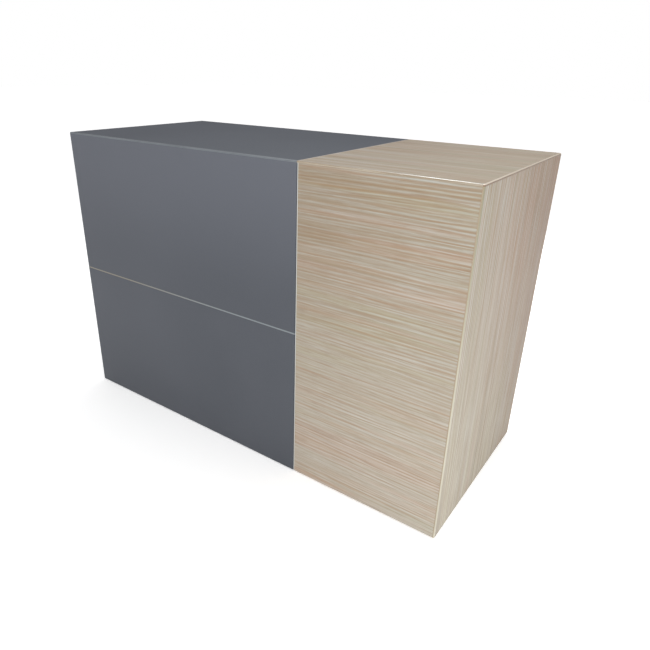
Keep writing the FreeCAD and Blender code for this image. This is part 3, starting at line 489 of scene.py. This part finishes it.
# Drawer runners and rollers
# Folded sheet steel with a white epoxy coat, worn grey along the track, and white nylon rollers on
# riveted axles.
epoxy = Finish("runner_epoxy", Coat_Weight=0.2)
epoxy_white = linear(226, 225, 219)
track_grey = linear(150, 150, 148)
peel = epoxy.noise((500.0, 60.0, 500.0))
wear = epoxy.noise((60.0, 9.0, 60.0), 4.0, 0.7)
epoxy.set("Base Color", epoxy.stain(epoxy_white, track_grey, wear.ramp(0.56, 0.72), share=0.7))
epoxy.set("Roughness", 0.35 + wear * 0.2)
epoxy.bump(peel, depth=0.00008, strength=0.4)
epoxy.dress("runner_cabinet_rails", "runner_drawer_rails")

roller = Finish("roller_nylon")
roller_white = linear(233, 231, 224)
roller_grey = linear(214, 211, 202)
turned_rings = roller.noise((900.0, 120.0, 120.0))
roller.set("Base Color", roller.blend(turned_rings.ramp(0.35, 0.7), roller_white, roller_grey))
roller.set("Roughness", 0.32 + turned_rings * 0.15)
roller.bump(turned_rings, depth=0.00006, strength=0.4)
roller.dress("cabinet_roller_left", "cabinet_roller_right", "drawer_roller_left", "drawer_roller_right")

# Door hinges
# Butt hinges of nickel-plated pressed steel with rolled knuckles and a headed pin; one leaf is screwed to
# the end panel and the other to the door.
nickel = Finish("hinge_nickel", Metallic=1.0)
nickel_pale = linear(204, 200, 192)
nickel_dull = linear(176, 172, 164)
polish_lines = nickel.noise((600.0, 600.0, 40.0), 3.0, 0.6)
spots = nickel.noise(90.0, 4.0, 0.7)
nickel.set("Base Color", nickel.blend(spots.ramp(0.45, 0.75), nickel_pale, nickel_dull))
nickel.set("Roughness", 0.26 + polish_lines * 0.16)
nickel.bump(polish_lines, depth=0.00003, strength=0.4)
nickel.dress("hinge_panel_leaves", "hinge_door_leaves", "hinge_pins")

# Handles
# Round bars of satin anodised aluminium on two posts, held by screws through the drawer face and through
# the door.
satin = Finish("satin_handle", Metallic=1.0)
satin_pale = linear(204, 206, 208)
touched_grey = linear(188, 189, 190)
satin_grain = satin.noise(900.0, roughness=0.6)
touch = satin.noise(30.0, 3.0, 0.6)
satin.set("Base Color", satin.blend(touch.ramp(0.4, 0.7), satin_pale, touched_grey))
satin.set("Roughness", 0.30 + satin_grain * 0.12 + touch * 0.08)
satin.bump(satin_grain, depth=0.00003, strength=0.4)
satin.dress("drawer_handle", "door_handle")

# Cam locks
# Die-cast bodies with a bright nickel plating, put through the drawer face and the door, each with a ring
# nut behind the front and a keyed plug.
plating = Finish("lock_plating", Metallic=1.0)
plating_bright = linear(214, 212, 208)
plating_dull = linear(196, 194, 190)
finger_marks = plating.noise(140.0, 3.0, 0.6)
plating.set("Base Color", plating.blend(finger_marks.ramp(0.4, 0.7), plating_bright, plating_dull))
plating.set("Roughness", 0.14 + finger_marks * 0.16)
plating.bump(finger_marks, depth=0.00002, strength=0.3)
plating.dress("drawer_lock_body", "drawer_lock_nut", "drawer_lock_plug",
              "door_lock_body", "door_lock_nut", "door_lock_plug")

# Floor
# A plain pale studio floor that runs far past the counter on every side; it glows a little, so that the
# counter's shadow stays soft.
floor_half = 30.0
pure_white = (1.0, 1.0, 1.0, 1.0)
floor_white = (0.95, 0.95, 0.95, 1.0)
floor_mesh = bpy.data.meshes.new("studio_floor")
floor_corners = np.array([[-1, -1, 0], [1, -1, 0], [1, 1, 0], [-1, 1, 0]]) * floor_half
floor_mesh.from_pydata(floor_corners.tolist(), [], [(0, 1, 2, 3)])
floor = bpy.data.objects.new("studio_floor", floor_mesh)
bpy.context.scene.collection.objects.link(floor)
pale = Finish("studio_floor", Specular_IOR_Level=0.0, Roughness=1.0, Emission_Strength=0.3)
pale.set("Base Color", floor_white)
pale.set("Emission Color", pure_white)
floor_mesh.materials.append(pale.material)

# Light
# A white backdrop, an overhead softbox that fades to the horizon, soft lamps at the right front and on the
# staff side, one low for the shelves, and a small cool lamp that glints along the wood box's top front edge.
horizon_light = 0.10
overhead_light = 1.10
world = bpy.data.worlds.new("studio_light")
world.use_nodes = True
sky = NodeMaker(world.node_tree)
sky.tree.nodes.remove(sky.tree.nodes["Background"])
direction = sky.node("ShaderNodeTexCoord", output="Generated")
upward = sky.node("ShaderNodeSeparateXYZ", {}, {"Vector": direction}, "Z")
sky_light = horizon_light + upward.ramp(0.3, 0.8) * (overhead_light - horizon_light)
softbox = sky.node("ShaderNodeBackground", {}, {"Color": pure_white, "Strength": sky_light})
backdrop = sky.node("ShaderNodeBackground", {}, {"Color": pure_white, "Strength": 1.0})
camera_sees = sky.node("ShaderNodeLightPath", output="Is Camera Ray")
either = sky.node("ShaderNodeMixShader", {}, {0: camera_sees, 1: softbox, 2: backdrop})
sky.feed(sky.tree.nodes["World Output"].inputs["Surface"], either)
bpy.context.scene.world = world


def lamp(name, place, target, width, height, power):
    """Soft rectangular lamp that faces a target point, its width level; the camera doesn't see it."""
    light = bpy.data.lights.new(name, "AREA")
    light.shape = "RECTANGLE"
    light.size = width
    light.size_y = height
    light.energy = power
    holder = bpy.data.objects.new(name, light)
    bpy.context.scene.collection.objects.link(holder)
    back = np.array(place) - np.array(target)
    back = back / np.linalg.norm(back)
    side = np.cross((0.0, 0.0, 1.0), back)
    side = side / np.linalg.norm(side)
    turn = Matrix(np.column_stack([side, np.cross(back, side), back]).tolist())
    holder.matrix_world = Matrix.Translation(place) @ turn.to_4x4()
    holder.visible_camera = False
    return holder


edge_lamp = lamp("edge_lamp", place=(-0.34, 0.5, 3.4), target=(0.6, -0.32, 1.0),
                 width=0.36, height=0.3, power=84.0)
edge_lamp.data.color = (0.86, 0.96, 1.0)
edge_lamp.visible_diffuse = False
front_lamp = lamp("front_lamp", place=(1.6, -2.4, 1.7), target=(0.0, -0.2, 0.8),
                  width=1.8, height=1.2, power=32.0)
front_lamp.visible_glossy = False
staff_lamp = lamp("staff_lamp", place=(0.2, 3.0, 1.3), target=(0.0, 0.3, 0.5),
                  width=2.6, height=1.6, power=36.0)
staff_lamp.visible_glossy = False
shelf_lamp = lamp("shelf_lamp", place=(-0.7, 2.8, 0.55), target=(-0.3, 0.0, 0.5),
                  width=2.2, height=0.9, power=28.0)
shelf_lamp.visible_glossy = False

# Camera
# Stands to the right of the customer front, a little above the worktop, as in the photograph; its place,
# turn and lens were fitted to the counter's edges in a 650 pixel square frame.
sensor_width = 36.0
frame_pixels = 650.0
focal_pixels = 570.07
centre_pixel = (299.63, 320.45)
eye = (1.1515, -1.5526, 1.2242)
look = np.array([-0.53383, 0.74106, -0.40725])
sideways = np.array([0.80739, 0.58983, 0.01496])
camera_data = bpy.data.cameras.new("photo_camera")
camera_data.sensor_width = sensor_width
camera_data.lens = focal_pixels * sensor_width / frame_pixels
camera_data.shift_x = (frame_pixels / 2 - centre_pixel[0]) / frame_pixels
camera_data.shift_y = (centre_pixel[1] - frame_pixels / 2) / frame_pixels
camera_data.clip_end = 200.0
camera = bpy.data.objects.new("photo_camera", camera_data)
bpy.context.scene.collection.objects.link(camera)
rise = np.cross(sideways, look)
turn = Matrix(np.column_stack([sideways, rise, -look]).tolist())
camera.matrix_world = Matrix.Translation(eye) @ turn.to_4x4()
bpy.context.scene.camera = camera
bpy.context.scene.view_settings.view_transform = "Standard"
